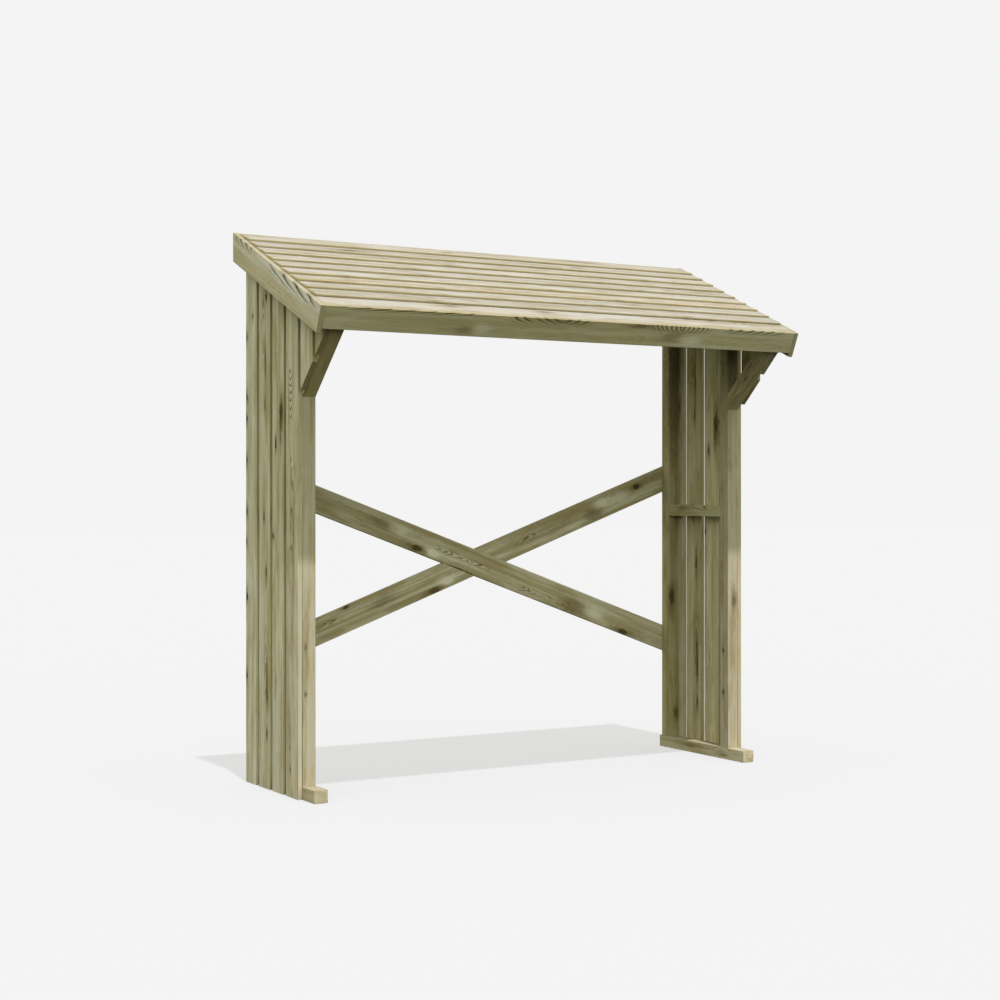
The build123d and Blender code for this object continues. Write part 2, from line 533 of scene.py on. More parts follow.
@dataclass(frozen=True)
class Mark:
    """A mark in the wood, measured from the middle of the uncut board; a few marks are painted shade instead.

    The stretch lengthens it along the grain and the depth through the board. The heart is as dark as a
    knot, the stain is brown above zero and pale below, and the swell pushes the growth rings aside.
    """

    along: float
    across: float
    radius: float
    stretch: float = 2.2
    heart: float = 0.9
    stain: float = 0.8
    swell: float = 1.5
    through: float = 0.0
    depth: float = 30.0

    @classmethod
    def knots(cls, *rows: Sequence[float]) -> tuple["Mark", ...]:
        """Knots, each from a row of its fields."""
        return tuple(cls(*row) for row in rows)

    @classmethod
    def smudges(cls, *rows: Sequence[float]) -> tuple["Mark", ...]:
        """Soft stains without a heart, each from a row of along, across, radius, stretch and stain."""
        return tuple(cls(*row[:4], heart=0.0, stain=row[4], swell=0.3) for row in rows)

    @classmethod
    def waves(cls, *rows: Sequence[float]) -> tuple["Mark", ...]:
        """Waves of the growth rings, each from a row of along, across, radius, swell and stain."""
        return tuple(cls(*row[:3], stretch=1.6, heart=0.0, stain=row[4], swell=row[3]) for row in rows)

    @classmethod
    def edges(cls, *rows: Span) -> tuple["Mark", ...]:
        """Knots cut through by the rear edge of a slat, each from a row of along and radius."""
        cut = {"stretch": 0.9, "heart": 1.0, "stain": 0.9, "swell": 1.0, "through": 0.008, "depth": 0.8}
        return tuple(cls(along, 0.046, radius, **cut) for along, radius in rows)

    @classmethod
    def lips(cls, *places: float) -> tuple["Mark", ...]:
        """Knots in the front lip of a roof board, each with a pale patch beside it."""
        knots = cls.knots(*((along, -0.046, 0.007, 2.6, 0.12, 0.45) for along in places))
        return knots + cls.smudges(*((along + 0.060, -0.024, 0.014, 2.4, -0.8) for along in places))

    @classmethod
    def by_chance(cls, name: str, length: float, width: float) -> tuple["Mark", ...]:
        """A few small knots.

        Args:
            name: The board's name, which fixes the choice.
            length: The board's length.
            width: The board's width.

        Returns:
            The knots.
        """
        draw = Random(f"knots of {name}").uniform
        return tuple(
            cls(draw(-0.45, 0.45) * length, draw(-0.4, 0.4) * width, draw(0.005, 0.009),
                draw(1.6, 3.0), draw(0.1, 0.4), draw(0.3, 0.6))
            for _ in range(round(2 + length)))

    def softer(self) -> "Mark":
        """The same mark with a paler heart."""
        return replace(self, heart=self.heart * 0.7)

    @property
    def carried(self) -> dict[str, Triple]:
        """What the points carry: the middle, the half lengths, and the heart, stain and swell."""
        return {
            "place": (self.along, self.across, self.through),
            "span": (self.radius * self.stretch, self.radius, self.radius * self.depth),
            "mood": (self.heart, self.stain, self.swell * self.radius),
        }


@dataclass(frozen=True)
class Feather:
    """Nested arches in the figure of a board, measured from the middle of the uncut board.

    Bold ones don't fade, and bowls open to both sides instead of running on along the board.
    """

    along: float
    across: float
    half_length: float
    half_width: float
    pitch: float
    bold: float = 0.0
    bowl: float = 0.0

    @classmethod
    def rows(cls, *rows: Sequence[float]) -> tuple["Feather", ...]:
        """Feathers, each from a row of its fields."""
        return tuple(cls(*row) for row in rows)

    @property
    def carried(self) -> dict[str, Triple]:
        """What the points carry: the middle, the half sizes and pitch, and the boldness and bowl."""
        return {
            "place": (self.along, self.across, 0.0),
            "span": (self.half_length, self.half_width, self.pitch),
            "mood": (self.bold, self.bowl, 0.0),
        }


@dataclass(frozen=True)
class Cut:
    """A saw cut: what lies on the side of the normal falls away."""

    point: Vector
    normal: Vector

    def within(self, place: Matrix) -> "Cut":
        """The same cut in the own frame of a board that has this place."""
        back = place.inverted()
        return Cut(back @ self.point, back.to_3x3() @ self.normal)

    def away(self, point: Vector) -> float:
        """Distance of a point from the plane of the cut, with its sign."""
        return (point - self.point).dot(self.normal)

    def split(self, shape: bmesh.types.BMesh, **options: Any) -> list[bmesh.types.BMEdge]:
        """Divide a shape along the cut.

        Args:
            shape: The shape, in the same frame as the cut.
            **options: What else the cut does.

        Returns:
            The edges that lie in the cut.
        """
        parts = [*shape.verts, *shape.edges, *shape.faces]
        result = bmesh.ops.bisect_plane(
            shape, geom=parts, plane_co=self.point, plane_no=self.normal, **options)
        return [part for part in result["geom_cut"] if isinstance(part, bmesh.types.BMEdge)]


@dataclass(frozen=True)
class Log:
    """Where a board sat in its log, and its tint: how it took the treatment, and on some boards painted light
    and shade.
    """

    pith_across: float
    pith_through: float
    lean_across: float
    lean_through: float
    start: float
    tint: Colour

    @classmethod
    def for_board(cls, name: str, width: float) -> "Log":
        """Choose a place in a log.

        Args:
            name: The board's name, which fixes the choice.
            width: The board's width.

        Returns:
            The place.
        """
        chance = Random(name)
        light = chance.uniform(0.94, 1.05)
        warm = chance.uniform(-0.025, 0.025)
        # A listed board's tint is partly its own tone and partly painted light and shade.
        red, green, blue = BOARD_TONES_AND_PAINTED_LIGHT.get(name, (1.0, 1.0, 1.0))
        return cls(
            pith_across=chance.uniform(-0.35, 0.35) * width,
            pith_through=chance.choice((-1, 1)) * chance.uniform(0.035, 0.085),
            lean_across=chance.uniform(-0.012, 0.012),
            lean_through=chance.uniform(-0.025, 0.025),
            start=chance.uniform(0.0, 40.0),
            tint=(light * (1 + warm) * red, light * green, light * (1 - 1.6 * warm) * blue),
        )

    def grain(self, place: Vector) -> Vector:
        """Coordinates from the middle of the log.

        Args:
            place: A point of the board in its own frame.

        Returns:
            The point along, across and through the log.
        """
        across = place.y - self.pith_across - self.lean_across * place.x
        through = place.z - self.pith_through - self.lean_through * place.x
        return Vector((place.x + self.start, across, through))


def frame_of(middle: Vector, along: Vector, across: Vector) -> Matrix:
    """Place of a board.

    Args:
        middle: Middle of the uncut board.
        along: Direction of its length.
        across: Direction of its width.

    Returns:
        The transform from the board's own frame.
    """
    columns = (along.normalized(), across.normalized(), along.cross(across).normalized())
    return Matrix.Translation(middle) @ Matrix(columns).transposed().to_4x4()


@dataclass
class Board:
    """One planed board or timber with eased edges."""

    node: str
    slot: Slot
    length: float
    width: float
    thickness: float
    place: Matrix
    cuts: Sequence[Cut] = ()
    # Share of the finish's painted edge tone on this board, and the axis whose faces take it.
    edge_tone: float = 1.0
    edge_axis: int = 1
    arris: float = 0.0015
    arris_steps: int = 3
    saw_arris: float = 0.0008

    def build(self, finishes: dict[Slot, bpy.types.Material]) -> bpy.types.Object:
        """Model the board and dress it.

        Args:
            finishes: Material of each slot.

        Returns:
            The finished piece.
        """
        shape = bmesh.new()
        self._plane(shape)
        for cut in self.cuts:
            rim = cut.within(self.place).split(shape, clear_outer=True)
            bmesh.ops.edgeloop_fill(shape, edges=rim)
        self._joint(shape)
        self._break_ends(shape)
        self._mark(shape)
        bmesh.ops.transform(shape, matrix=self.place, verts=shape.verts)
        mesh = bpy.data.meshes.new(f"{self.node}_timber")
        shape.to_mesh(mesh)
        shape.free()
        piece = bpy.data.objects.new(f"{self.node}_timber", mesh)
        bpy.context.scene.collection.objects.link(piece)
        mesh.materials.append(finishes[self.slot])
        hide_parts(self.node)
        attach(piece, "root")
        return piece

    @staticmethod
    def _ease(shape: bmesh.types.BMesh, edges: list[bmesh.types.BMEdge], offset: float, steps: int) -> None:
        """Take the sharpness off some edges, in so many steps."""
        bmesh.ops.bevel(
            shape, geom=edges, offset=offset, offset_type="OFFSET", segments=steps, profile=0.5,
            affect="EDGES", material=-1)

    def _plane(self, shape: bmesh.types.BMesh) -> None:
        """Make the planed stick with its rounded long edges.

        Args:
            shape: The empty shape.
        """
        bmesh.ops.create_cube(shape, size=1.0)
        bmesh.ops.scale(shape, vec=(self.length, self.width, self.thickness), verts=shape.verts)
        ends = [(edge, *(vert.co.x for vert in edge.verts)) for edge in shape.edges]
        self._ease(shape, [edge for edge, one, two in ends if one * two < 0], self.arris, self.arris_steps)

    def _joint(self, shape: bmesh.types.BMesh) -> None:
        """Work a joint into the board; a plain board has none."""

    def _break_ends(self, shape: bmesh.types.BMesh) -> None:
        """Break the edges of the sawn ends.

        Args:
            shape: The board in its own frame.
        """
        bmesh.ops.recalc_face_normals(shape, faces=shape.faces)
        ends = {face for face in shape.faces if abs(face.normal.x) > SAWN_SLANT}
        rim = [edge for edge in shape.edges if len(ends.intersection(edge.link_faces)) == 1]
        self._ease(shape, rim, self.saw_arris, 1)

    def _shared(self, log: Log) -> dict[str, Triple]:
        """What all points of the board carry alike: its tint, marks and feathers.

        Args:
            log: The board's place in its log.

        Returns:
            The values by attribute.
        """
        marks = STORE_MARKS_AND_PAINTED_SHADE.get(self.node) or Mark.by_chance(self.node, self.length, self.width)
        feathers = STORE_FEATHERS.get(self.node, ())
        groups = (
            ("", marks, MARKS_PER_BOARD, Mark(FAR_OFF, 0.0, SPECK)),
            ("feather_", feathers, FEATHERS_PER_BOARD, Feather(FAR_OFF, 0.0, SPECK, SPECK, SPECK)),
        )
        shared = {"tint": log.tint}
        for prefix, shown, count, unused in groups:
            for number, item in enumerate([*shown, *[unused] * count][:count]):
                for part, value in item.carried.items():
                    shared[f"{prefix}{part}_{number}"] = value
        return shared

    def _mark(self, shape: bmesh.types.BMesh) -> None:
        """Give the points and faces what the finish reads.

        Args:
            shape: The board in its own frame.
        """
        log = Log.for_board(self.node, self.width)
        shared = self._shared(log)
        shape.normal_update()
        layers = shape.verts.layers.float_vector
        for name in ("grain", "board", *shared):
            layers.new(name)
        numbers = ("sawn", "weather", "edge")
        for name in numbers:
            shape.faces.layers.float.new(name)
        sawn, weather, edge = (shape.faces.layers.float[name] for name in numbers)
        upward = self.place.to_3x3().transposed() @ UPWARD
        for vert in shape.verts:
            for name, value in {"grain": log.grain(vert.co), "board": vert.co, **shared}.items():
                vert[layers[name]] = value
        for face in shape.faces:
            face[sawn] = float(abs(face.normal.x) > SAWN_SLANT)
            # How far the face looks upwards; the finish paints shade on such faces.
            face[weather] = max(0.0, face.normal.dot(upward)) ** 2
            # Painted edges: faces along the chosen axis and sawn ends, scaled by the board's share of the
            # painted edge tone.
            face[edge] = max(face.normal[self.edge_axis] ** 2, face[sawn]) * self.edge_tone
            broad = max(abs(part) for part in face.normal) > SQUARE
            face.smooth = not (broad or face[sawn])


@dataclass
class HalvedBoard(Board):
    """A board that is halved over another one where they cross."""

    crossing: Sequence[Cut] = ()
    open_side: int = 1

    def _joint(self, shape: bmesh.types.BMesh) -> None:
        """Take out half the thickness between the two edges of the crossing board.

        Args:
            shape: The board in its own frame.
        """
        planes = [cut.within(self.place) for cut in self.crossing]
        for plane in (*planes, Cut(Vector(), UPWARD)):
            plane.split(shape, dist=TOUCH)
        centres = {face: face.calc_center_median() for face in shape.faces}
        waste = [
            face for face, centre in centres.items()
            if centre.z * self.open_side > TOUCH and all(plane.away(centre) < 0 for plane in planes)]
        bmesh.ops.delete(shape, geom=waste, context="FACES")
        for plane in planes:
            wall = [vert for vert in shape.verts if vert.is_boundary and abs(plane.away(vert.co)) < TOUCH]
            bmesh.ops.contextual_create(shape, geom=[vert for vert in wall if abs(vert.co.z) < TOUCH])
            loose = [edge for edge in shape.edges if edge.is_boundary or edge.is_wire]
            rim = [edge for edge in loose if all(abs(plane.away(vert.co)) < TOUCH for vert in edge.verts)]
            bmesh.ops.edgeloop_fill(shape, edges=rim)
        bmesh.ops.edgeloop_fill(shape, edges=[edge for edge in shape.edges if edge.is_boundary])


@dataclass
class PressedBoard(Board):
    """A thin board whose lower edge is nailed down until it bears on the flat board below."""

    press: float = 0.002
    lap: float = 0.0275
    steps: int = 4
    curl: float = 1.5

    def _joint(self, shape: bmesh.types.BMesh) -> None:
        """Bend the lap down, most at the lower edge.

        Args:
            shape: The board in its own frame.
        """
        for step in range(1, self.steps + 1):
            Cut(BACKWARD * (self.lap * step / self.steps - self.width / 2), BACKWARD).split(shape)
        for vert in shape.verts:
            share = max(0.0, 1 - (vert.co.y + self.width / 2) / self.lap)
            vert.co.z -= self.press * share ** self.curl


@dataclass(frozen=True)
class Slope:
    """Plane of the rafter tops, seen from the side."""

    angle: float = math.radians(23.75)
    front: float = -0.352
    eaves: float = 1.549
    cover: float = 0.0075

    @property
    def uphill(self) -> Vector:
        """Direction up the slope."""
        return Vector((0.0, math.cos(self.angle), math.sin(self.angle)))

    @property
    def normal(self) -> Vector:
        """Direction square to the slope, upwards."""
        return Vector((0.0, -math.sin(self.angle), math.cos(self.angle)))

    def point(self, along: float, above: float, x: float = 0.0) -> Vector:
        """Point so far up the slope from the front and so far above the rafter tops."""
        corner = Vector((x, self.front, self.eaves))
        return corner + self.uphill * along + self.normal * (above - self.cover)

    def over(self, above: float) -> Cut:
        """Cut that follows the slope at a height above the rafter tops."""
        return Cut(self.point(0.0, above), self.normal)

    def along_at(self, y: float, above: float) -> float:
        """Distance up the slope at which a line above the rafter tops reaches a station."""
        return (y - self.point(0.0, above).y) / math.cos(self.angle)

    def height_at(self, y: float) -> float:
        """Height of the rafter tops at a station from front to back."""
        return self.point(self.along_at(y, 0.0), 0.0).z


@dataclass(frozen=True)
class Stations:
    """Planes that several sub-assemblies share; those across are measured outwards from the middle."""

    slope: Slope = field(default_factory=Slope)
    bargeboard_outer: float = 0.935
    bargeboard_inner: float = 0.918
    slat_outer: float = 0.8905
    slat_inner: float = 0.8745
    timber_inner: float = 0.828
    post_face: float = -0.080
    wall_back: float = 0.346
    rear_post_back: float = 0.331
    roof_back: float = 0.352
    rail_depth: float = 0.045
    fascia_thickness: float = 0.016
    fascia_depth: float = 0.076
    spare: float = 0.1

    @property
    def timbers(self) -> Span:
        """Inner and outer face of the wall timbers."""
        return self.timber_inner, self.slat_inner

    @property
    def slats(self) -> Span:
        """Inner and outer face of the slats."""
        return self.slat_inner, self.slat_outer

    def sloping(self, node: str, slot: Slot, start: float, back: float, heights: Span, faces: Span) -> Board:
        """A timber that follows the roof, square at the front and plumb at the back.

        Args:
            node: Name of the node.
            slot: Slot of its finish.
            start: Where it starts, up the slope.
            back: Station of the plumb cut.
            heights: Its underside and its top, over the rafter tops.
            faces: X of its two side faces.

        Returns:
            The board.
        """
        low, high = heights
        left, right = sorted(faces)
        end = self.slope.along_at(back, low) + self.spare
        middle = self.slope.point((start + end) / 2, (low + high) / 2, (left + right) / 2)
        place = frame_of(middle, self.slope.uphill, self.slope.normal)
        plumb = Cut(BACKWARD * back, BACKWARD)
        return Board(node, slot, end - start, high - low, right - left, place, (plumb,))


@dataclass
class SideWall:
    """One slatted end: sole, posts, rails, slats and knee brace."""

    side: Side
    at: Stations
    post_depth: float = 0.045
    rail_height: float = 0.043
    sole_projection: float = 0.092
    mid_rail_top: float = 0.935
    slat_width: float = 0.09075
    slat_gap: float = 0.021
    full_slats: int = 4
    short_slats: int = 2
    ground_gap: float = 0.002
    top_gap: float = 0.002
    front_gap: float = 0.010
    # Shares of the painted slot shade for the right wall's slats, whose edges catch light from outside, and
    # for the last full slat, whose front edge is lit.
    right_edge_tone: float = 0.75
    last_edge_tone: float = 0.55
    knee_depth: float = 0.043
    knee_angle: float = math.radians(43.0)
    knee_head: float = 0.005

    def boards(self) -> Iterator[Board]:
        """All boards of the wall."""
        yield from (*self._frame(), *self._slats(), self._knee())

    @property
    def knee_cut(self) -> Cut:
        """Plane of the knee brace's underside, which also trims the short slats."""
        head = self.at.slope.point(self.at.fascia_thickness, -self.at.rail_depth - self.knee_head)
        return Cut(head, Vector((0.0, -math.sin(self.knee_angle), -math.cos(self.knee_angle))))

    def _stick(self, name: str, slot: Slot, layer: Span, depths: Span, heights: Span, *cuts: Cut) -> Board:
        """A timber or slat of the wall, which runs upwards where it is taller than deep.

        Args:
            name: Name of the piece in the wall.
            slot: Slot of its finish.
            layer: Its inner and outer face.
            depths: Its front and its back.
            heights: Its foot and its top.
            *cuts: Cuts of its ends.

        Returns:
            The board.
        """
        (inner, outer), (front, back), (low, high) = layer, depths, heights
        middle = Vector((self.side.at(inner + outer) / 2, (front + back) / 2, (low + high) / 2))
        sizes, axes = (back - front, high - low), (BACKWARD, UPWARD)
        if sizes[0] < sizes[1]:
            sizes, axes = sizes[::-1], axes[::-1]
        return Board(self.side.node(name), slot, *sizes, outer - inner, frame_of(middle, *axes), cuts)

    def _frame(self) -> Iterator[Board]:
        """Sole, posts and rails.

        Yields:
            The timbers.
        """
        at = self.at
        front_posts = (at.post_face, at.post_face + self.post_depth)
        rear_posts = (at.rear_post_back - self.post_depth, at.rear_post_back)
        under_rail = at.slope.over(-at.rail_depth)
        sole = (at.post_face - self.sole_projection, at.wall_back)
        yield self._stick("sole", Slot.FRAME, at.timbers, sole, (0.0, self.rail_height))
        for name, depths in (("front_post", front_posts), ("rear_post", rear_posts)):
            heights = (self.rail_height, at.slope.height_at(depths[1]) + at.spare)
            yield self._stick(name, Slot.FRAME, at.timbers, depths, heights, under_rail)
        heights = (self.mid_rail_top - self.rail_height, self.mid_rail_top)
        yield self._stick("mid_rail", Slot.FRAME, at.timbers, (front_posts[1], rear_posts[0]), heights)
        yield at.sloping(
            self.side.node("top_rail"), Slot.FRAME, at.fascia_thickness, at.rear_post_back,
            (-at.rail_depth, 0.0), [self.side.at(face) for face in at.timbers])

    def _slats(self) -> Iterator[Board]:
        """Slats from back to front: full ones, then short ones over the knee brace.

        Yields:
            The slats.
        """
        at = self.at
        head = at.slope.over(-self.top_gap)
        fascia_foot = at.slope.point(at.fascia_thickness, at.slope.cover - at.fascia_depth).y
        last = self.full_slats + self.short_slats
        for number in range(1, last + 1):
            back = at.wall_back - (number - 1) * (self.slat_width + self.slat_gap)
            front = back - self.slat_width if number < last else fascia_foot + self.front_gap
            foot, cuts = self.ground_gap, (head,)
            if number > self.full_slats:
                foot, cuts = self.mid_rail_top, (head, self.knee_cut)
            heights = (foot, at.slope.height_at(back) + at.spare)
            slat = self._stick(f"slat_{number}", Slot.SLATS, at.slats, (front, back), heights, *cuts)
            # Less painted slot shade where the slat edges are lit.
            if self.side is Side.RIGHT:
                slat.edge_tone = self.right_edge_tone
            elif number == self.full_slats:
                slat.edge_tone = self.last_edge_tone
            yield slat

    def _knee(self) -> Board:
        """Strut from the front post to the top rail.

        Returns:
            The knee brace.
        """
        at, underside = self.at, self.knee_cut
        direction = Vector((0.0, -math.cos(self.knee_angle), math.sin(self.knee_angle)))
        foot = underside.point + direction * ((at.post_face - underside.point.y) / direction.y)
        length = (underside.point - foot).length + 2 * at.spare
        middle = (foot + underside.point) / 2 - underside.normal * (self.knee_depth / 2)
        middle.x = self.side.at(sum(at.timbers) / 2)
        place = frame_of(middle, direction, -underside.normal)
        cuts = (
            Cut(BACKWARD * at.post_face, BACKWARD),
            at.slope.over(-at.rail_depth),
            Cut(at.slope.point(at.fascia_thickness, 0.0), -at.slope.uphill),
        )
        width = at.slat_inner - at.timber_inner
        return Board(self.side.node("knee_brace"), Slot.FRAME, length, self.knee_depth, width, place, cuts)


@dataclass
class BackFrame:
    """Crossed braces and top rail behind the rear posts."""

    at: Stations
    brace_width: float = 0.091
    brace_high: float = 1.027
    brace_low: float = 0.422
    brace_stagger: float = 0.005
    rail_depth: float = 0.090

    def boards(self) -> Iterator[Board]:
        """Both braces, the falling one open to the back, and the top rail."""
        yield from (self._brace("back_brace_falling", -1), self._brace("back_brace_rising", 1))
        yield self._top_rail()

    @property
    def depth(self) -> float:
        """Thickness of the boards at the back."""
        return self.at.wall_back - self.at.rear_post_back

    def _line(self, direction: int) -> Matrix:
        """Place of a brace.

        Args:
            direction: 1 where it rises to the right and -1 where it falls.

        Returns:
            The transform from the brace's own frame.
        """
        fall = (self.brace_high - self.brace_low) / (2 * self.at.timber_inner)
        level = (self.brace_high + self.brace_low) / 2 + (self.brace_stagger if direction > 0 else 0.0)
        middle = Vector((0.0, (self.at.rear_post_back + self.at.wall_back) / 2, level))
        along = Vector((1.0, 0.0, direction * fall)).normalized()
        return frame_of(middle, along, Vector((-along.z, 0.0, along.x)))

    def _brace(self, node: str, direction: int) -> HalvedBoard:
        """One of the crossed braces.

        Args:
            node: Name of the node.
            direction: 1 where it rises to the right and -1 where it falls.

        Returns:
            The board.
        """
        place, other = self._line(direction), self._line(-direction)
        across = other.col[1].to_3d()
        edge = across * (self.brace_width / 2)
        crossing = [Cut(other.translation + edge * sign, across * sign) for sign in (1, -1)]
        ends = [Cut(RIGHTWARD * (sign * self.at.slat_inner), RIGHTWARD * sign) for sign in (1, -1)]
        reach = 2 * (self.at.slat_inner / place.col[0].x + self.at.spare)
        facing = 1 if place.col[2].y > 0 else -1
        return HalvedBoard(
            node, Slot.BRACES, reach, self.brace_width, self.depth, place, ends, crossing=crossing,
            open_side=-direction * facing)

    def _top_rail(self) -> Board:
        """Rail that ties the walls at the top of the back.

        Returns:
            The board.
        """
        at = self.at
        top = at.slope.height_at(at.wall_back)
        foot = at.slope.height_at(at.rear_post_back) - self.rail_depth
        middle = Vector((0.0, (at.rear_post_back + at.wall_back) / 2, (top + foot) / 2))
        place = frame_of(middle, RIGHTWARD, UPWARD)
        cuts = (at.slope.over(0.0),)
        return Board("back_top_rail", Slot.BRACES, 2 * at.slat_inner, top - foot, self.depth, place, cuts)


@dataclass
class RoofFrame:
    """Rafters, bargeboards and fascia."""

    at: Stations
    bargeboard_depth: float = 0.090
    rafter_depth: float = 0.045
    rafter_thickness: float = 0.0275

    def boards(self) -> Iterator[Board]:
        """All boards that carry and edge the roof.

        Yields:
            The boards.
        """
        at, cover = self.at, self.at.slope.cover
        half = self.rafter_thickness / 2
        start, depth = at.fascia_thickness, (-self.rafter_depth, 0.0)
        yield at.sloping("centre_rafter", Slot.FRAME, start, at.rear_post_back, depth, (-half, half))
        for side in Side:
            inner, middle, outer = map(side.at, (at.slat_outer, at.bargeboard_inner, at.bargeboard_outer))
            yield at.sloping(side.node("rafter"), Slot.FRAME, start, at.roof_back, depth, (inner, middle))
            heights = (cover - self.bargeboard_depth, cover)
            board = at.sloping(
                side.node("bargeboard"), Slot.TRIM, 0.0, at.roof_back, heights, (middle, outer))
            # Only the sawn ends of the bargeboards take the painted edge shade.
            board.edge_axis = 0
            yield board
        middle = at.slope.point(start / 2, cover - at.fascia_depth / 2)
        place = frame_of(middle, RIGHTWARD, at.slope.normal)
        # Only the fascia's sawn ends take the painted edge shade.
        yield Board(
            "front_fascia", Slot.TRIM, 2 * at.bargeboard_inner, at.fascia_depth, start, place, edge_axis=0)


@dataclass
class RoofCover:
    """Lapped roof boards: the first lies flat, and each of the others laps the one before."""

    at: Stations
    count: int = 10
    width: float = 0.100
    front_exposure: float = 0.086
    end_clearance: float = 0.001
    seat_clearance: float = 0.0002
    last_setback: float = 0.007
    arris: float = 0.002

    def boards(self) -> Iterator[Board]:
        """All roof boards from front to back.

        Yields:
            The boards.
        """
        slope, thickness = self.at.slope, self.at.slope.cover
        last_head = slope.along_at(self.at.roof_back, 0.0)
        pitch = (last_head - self.width - self.front_exposure) / (self.count - 2)
        tilt = math.asin(thickness / pitch)
        first_head = last_head - (self.count - 1) * pitch
        start = self.at.fascia_thickness
        middle = slope.point((start + first_head) / 2, self.seat_clearance + thickness / 2)
        yield self._board(1, middle, slope.uphill, first_head - start)
        downhill = slope.normal * math.sin(tilt) - slope.uphill * math.cos(tilt)
        upward = slope.normal * math.cos(tilt) + slope.uphill * math.sin(tilt)
        for number in range(2, self.count + 1):
            head = slope.point(first_head + (number - 1) * pitch, self.seat_clearance)
            setback = self.last_setback if number == self.count else 0.0
            middle = head + downhill * (setback + self.width) / 2 + upward * thickness / 2
            yield self._board(number, middle, -downhill, self.width - setback)

    def _board(self, number: int, middle: Vector, across: Vector, width: float) -> Board:
        """One roof board; the second is pressed down on the flat one.

        Args:
            number: Its place from the front.
            middle: Its middle.
            across: Direction of its width, up the roof.
            width: Its width.

        Returns:
            The board.
        """
        kind = PressedBoard if number == 2 else Board
        length = 2 * (self.at.bargeboard_inner - self.end_clearance)
        place = frame_of(middle, RIGHTWARD, across)
        return kind(
            f"roof_board_{number}", Slot.ROOF, length, width, self.at.slope.cover, place, arris=self.arris)


# Tints of single boards, partly their own tone and partly painted light and shade: the shaded inner slats,
# the rear posts, the knee braces, the right sole and the left bargeboard have their brightness and colour
# changed to stand for the light and shade on them.
BOARD_TONES_AND_PAINTED_LIGHT: dict[str, Colour] = {
    "left_front_post": (0.88, 0.87, 0.86),
    "right_front_post": (0.91, 0.91, 0.95),
    "right_slat_1": (0.95, 0.94, 0.87),
    "right_slat_4": (1.0, 1.0, 0.95),
    "right_sole": (1.12, 1.12, 1.12),
    "right_slat_2": (0.81, 0.79, 0.70),
    "right_slat_3": (1.01, 0.99, 0.90),
    "left_bargeboard": (1.12, 1.12, 1.20),
    "left_knee_brace": (0.93, 0.90, 0.68),
    "right_knee_brace": (1.02, 1.0, 0.90),
    "left_slat_1": (1.04, 1.04, 1.06),
    "left_slat_3": (1.05, 1.05, 1.05),
    "left_slat_4": (1.04, 1.04, 1.06),
    "left_slat_5": (1.12, 1.12, 1.12),
    "left_rear_post": (0.86, 0.86, 0.84),
    "right_rear_post": (0.93, 0.93, 0.86),
    "right_mid_rail": (1.04, 1.04, 0.96),
    "right_slat_5": (1.0, 0.95, 0.72),
    "front_fascia": (0.98, 0.97, 0.90),
}

WALL_MARKS: dict[str, tuple[Mark, ...]] = {
    "slat_2": Mark.knots(
        (0.745, -0.002, 0.008, 1.4, 0.7), (0.677, -0.016, 0.008, 1.4),
        (0.463, -0.008, 0.006, 8.0, 0.6, 0.7), (0.320, -0.006, 0.007, 2.0, 0.3, 0.6),
        (-0.051, 0.002, 0.006, 2.0, 0.7), (-0.235, -0.016, 0.008, 3.0, 0.6),
        (-0.560, -0.020, 0.006, 4.0, 0.2), (-0.640, -0.022, 0.008, 4.0, 0.5),
        (-0.766, -0.022, 0.007, 2.0, 0.6)),
    "slat_3": Mark.knots(
        (0.317, -0.027, 0.015, 2.0, 0.75), (0.250, -0.020, 0.010, 3.0, 0.0, 0.6),
        (0.213, 0.018, 0.007, 2.6), (-0.090, 0.038, 0.006, 1.6), (-0.560, 0.012, 0.005, 4.0, 0.2, 0.4)),
    "slat_4": Mark.knots(
        (-0.700, 0.014, 0.005, 3.0, 0.2, 0.4), (-0.749, 0.014, 0.005, 3.0, 0.2, 0.4),
        (-0.810, 0.011, 0.006, 2.0, 0.35, 0.5)),
    "front_post": Mark.knots(
        (-0.426, -0.0225, 0.005, 1.8, 0.3, 0.4, 1.0, 0.012, 1.2),
        (-0.576, -0.0225, 0.005, 1.6, 0.45, 0.4, 1.0, 0.012, 1.2),
        (-0.511, 0.004, 0.006, 1.6, 0.8, 0.5, 1.0, 0.0225, 1.0),
        (-0.666, 0.004, 0.006, 1.6, 0.8, 0.5, 1.0, 0.0225, 1.0)),
    "rear_post": Mark.knots(
        (-0.411, -0.0225, 0.010, 3.0, 0.7, 0.7, 1.5, 0.010, 1.4),
        (-0.860, -0.0225, 0.010, 2.0, 0.4, 0.6, 1.5, -0.012, 1.4), (0.220, 0.010, 0.010, 2.4, 0.4)),
    "sole": Mark.knots((0.060, 0.004, 0.010, 3.0, 0.3, 0.5), (-0.140, -0.008, 0.007, 2.4, 0.3, 0.6)),
    "mid_rail": (
        *Mark.knots((0.070, 0.010, 0.010, 2.6, 0.2, 0.5)),
        *Mark.waves((-0.040, 0.012, 0.016, 1.2, -0.4)),
    ),
    "bargeboard": Mark.smudges(
        (-0.360, 0.034, 0.016, 3.0, -0.5), (-0.250, 0.030, 0.018, 3.0, -0.7),
        (-0.150, 0.026, 0.018, 3.0, -0.8), (-0.060, 0.030, 0.016, 3.0, -0.6),
        (0.060, 0.038, 0.012, 5.0, -0.5), (0.240, 0.030, 0.016, 2.0, -0.6)),
}

